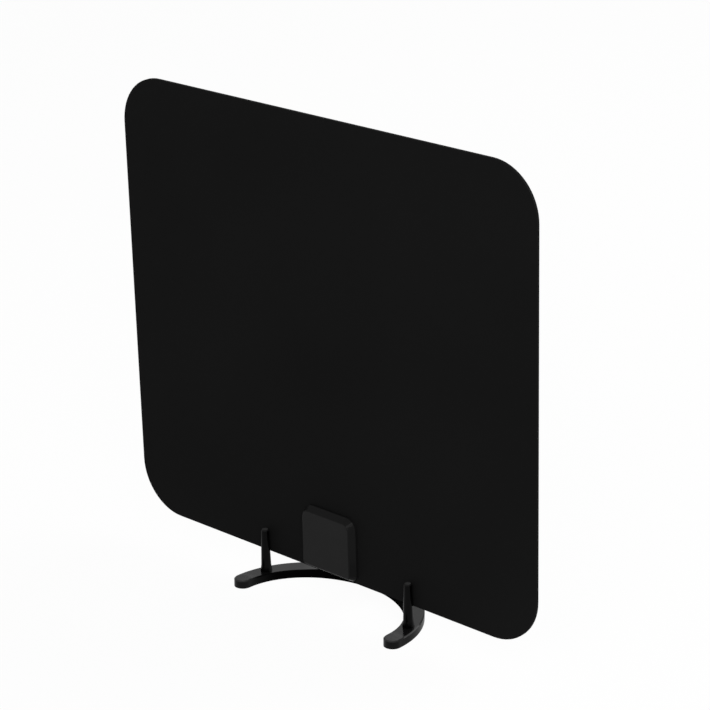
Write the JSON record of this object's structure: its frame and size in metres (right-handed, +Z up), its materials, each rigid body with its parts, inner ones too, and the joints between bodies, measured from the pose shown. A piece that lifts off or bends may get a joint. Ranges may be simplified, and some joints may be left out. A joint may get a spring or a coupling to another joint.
{
  "type": "flat indoor tv antenna",
  "caption": "Flat black indoor TV antenna: a thin rounded panel with a small junction housing, leaning a little forward on the pegs of a crescent stand.",
  "frame": {"origin": "on the floor, under the middle of the panel's width and the middle of the stand's depth", "axes": "+Z up, the panel's front faces -Y, +X to the right as seen from the front"},
  "size_m": [0.28, 0.0596, 0.2653],
  "materials": {
    "panel_film": "satin",
    "foil": "bright",
    "housing": "satin",
    "steel": "plated",
    "board": "lacquered",
    "brass": "bright",
    "plated_brass": "nickel plated",
    "ferrite": "matt",
    "insulator": "plain",
    "stand_plastic": "gloss"
  },
  "bodies": {
    "root": {"front_sheet": "panel_film", "rear_sheet": "panel_film", "foil_left": "foil", "foil_right": "foil", "front_cover": "housing", "rear_case": "housing", "housing_screws": "steel", "circuit_board": "board", "contact_rivets": "brass", "balun_core": "ferrite", "balun_winding": "brass", "socket_body": "plated_brass", "socket_insulator": "insulator", "socket_contact": "brass", "socket_washer": "plated_brass", "socket_nut": "plated_brass", "stand": "stand_plastic"}
  },
  "joints": []
}
